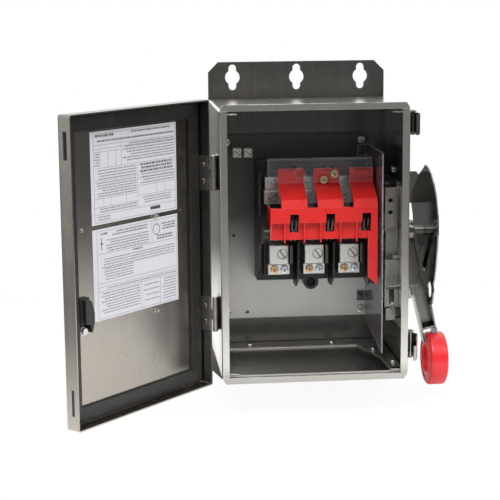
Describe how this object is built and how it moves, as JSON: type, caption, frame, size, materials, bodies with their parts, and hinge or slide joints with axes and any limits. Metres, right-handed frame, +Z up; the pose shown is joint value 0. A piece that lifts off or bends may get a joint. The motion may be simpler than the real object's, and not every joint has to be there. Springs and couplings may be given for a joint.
{
  "type": "disconnect switch box",
  "caption": "Wall-mounted stainless steel disconnect switch box with a hinged door, a side handle with a ring grip, fuseless switch poles under a guard, and a door interlock.",
  "frame": {"origin": "middle of the box's back face, on the wall plane", "axes": "+X to the right seen from the front, +Y into the wall, +Z up"},
  "size_m": [0.4375, 0.3044, 0.386],
  "materials": {
    "stainless_box": "brushed",
    "stainless_door": "brushed",
    "stainless_bright": "polished",
    "steel_hardware": "zinc plated",
    "zinc_plate": "zinc plated",
    "lug_metal": "tin plated",
    "copper_screw": "bright",
    "yellow_zinc": "yellow passivated",
    "black_moulding": "moulded",
    "black_foam": "soft",
    "label_paper": "printed",
    "red_plastic": "moulded",
    "red_grip": "moulded",
    "clear_sheet": "clear",
    "tinted_sheet": "smoked"
  },
  "bodies": {
    "enclosure": {"back_panel": "stainless_box", "box_wrap": "stainless_box", "corner_gussets": "stainless_box", "floor_plate": "stainless_box", "floor_screws": "steel_hardware", "box_hinge_leaves": "stainless_box", "hinge_pins": "steel_hardware", "latch_brackets": "stainless_box", "latch_pins": "steel_hardware", "mounting_plate": "zinc_plate", "plate_screws": "steel_hardware", "ground_lugs": "zinc_plate", "ground_screws": "zinc_plate", "switch_base": "black_moulding", "base_screws": "yellow_zinc", "line_lugs": "lug_metal", "line_lug_screws": "lug_metal", "load_lugs": "lug_metal", "load_lug_screws": "lug_metal", "load_tabs": "lug_metal", "tab_screws_copper": "copper_screw", "tab_screws_zinc": "lug_metal", "line_contacts": "copper_screw", "load_contacts": "copper_screw", "red_cover": "red_plastic", "line_shield": "clear_sheet", "line_shield_screws": "yellow_zinc", "side_shield": "tinted_sheet", "side_shield_screws": "steel_hardware", "mech_frame": "zinc_plate", "mech_screws": "steel_hardware", "interlock_plate": "zinc_plate", "hook_pin": "steel_hardware", "spring_wires": "steel_hardware", "toggle_spring": "steel_hardware", "shaft_bushing": "steel_hardware", "handle_shroud": "stainless_bright", "shroud_screws": "steel_hardware"},
    "door": {"door_pan": "stainless_door", "door_gasket": "black_foam", "door_label_upper": "label_paper", "door_label_lower": "label_paper", "door_studs": "steel_hardware", "interlock_catch": "black_moulding", "catch_bolt": "steel_hardware", "door_hinge_leaves": "stainless_door", "door_leaf_rivets": "steel_hardware"},
    "latch_upper": {"latch_lever_upper": "stainless_bright"},
    "latch_lower": {"latch_lever_lower": "stainless_bright"},
    "rotor": {"rotor_bar": "black_moulding", "rotor_blades": "copper_screw", "rotor_crank": "steel_hardware"},
    "handle": {"handle_shaft": "steel_hardware", "drive_crank": "steel_hardware", "handle_arm": "stainless_bright", "handle_disc": "stainless_bright", "disc_bolt": "steel_hardware", "grip_ring": "red_grip"},
    "interlock_hook": {"interlock_hook": "zinc_plate"},
    "defeat_rod": {"defeat_rod": "steel_hardware"}
  },
  "joints": [
    {"name": "door_hinge", "type": "hinge", "parent": "enclosure", "child": "door", "pos_m": [-0.1105, -0.1435, 0], "axis": [0, 0, 1], "range_deg": [-36, 132]},
    {"name": "handle_swing", "type": "hinge", "parent": "enclosure", "child": "handle", "pos_m": [0.117, -0.08, 0], "axis": [-1, 0, 0], "range_deg": [0, 180]},
    {"name": "rotor_turn", "type": "hinge", "parent": "enclosure", "child": "rotor", "pos_m": [0.0185, -0.08, 0], "axis": [-1, 0, 0], "range_deg": [0, 65]},
    {"name": "hook_lift", "type": "hinge", "parent": "enclosure", "child": "interlock_hook", "pos_m": [0.098, -0.1, -0.084], "axis": [-1, 0, 0], "range_deg": [0, 12]},
    {"name": "latch_upper_swing", "type": "hinge", "parent": "enclosure", "child": "latch_upper", "pos_m": [0.1125, -0.137, 0.131], "axis": [0, 0, -1], "range_deg": [0, 16]},
    {"name": "latch_lower_swing", "type": "hinge", "parent": "enclosure", "child": "latch_lower", "pos_m": [0.1125, -0.137, -0.1215], "axis": [0, 0, -1], "range_deg": [0, 16]},
    {"name": "defeat_push", "type": "slide", "parent": "enclosure", "child": "defeat_rod", "axis": [-1, 0, 0], "range_m": [0, 0.006]}
  ],
  "couplings": [
    {"joint": "rotor_turn", "follows": "handle_swing", "ratio": 0.361},
    {"joint": "hook_lift", "follows": "handle_swing", "ratio": 0.0666}
  ]
}
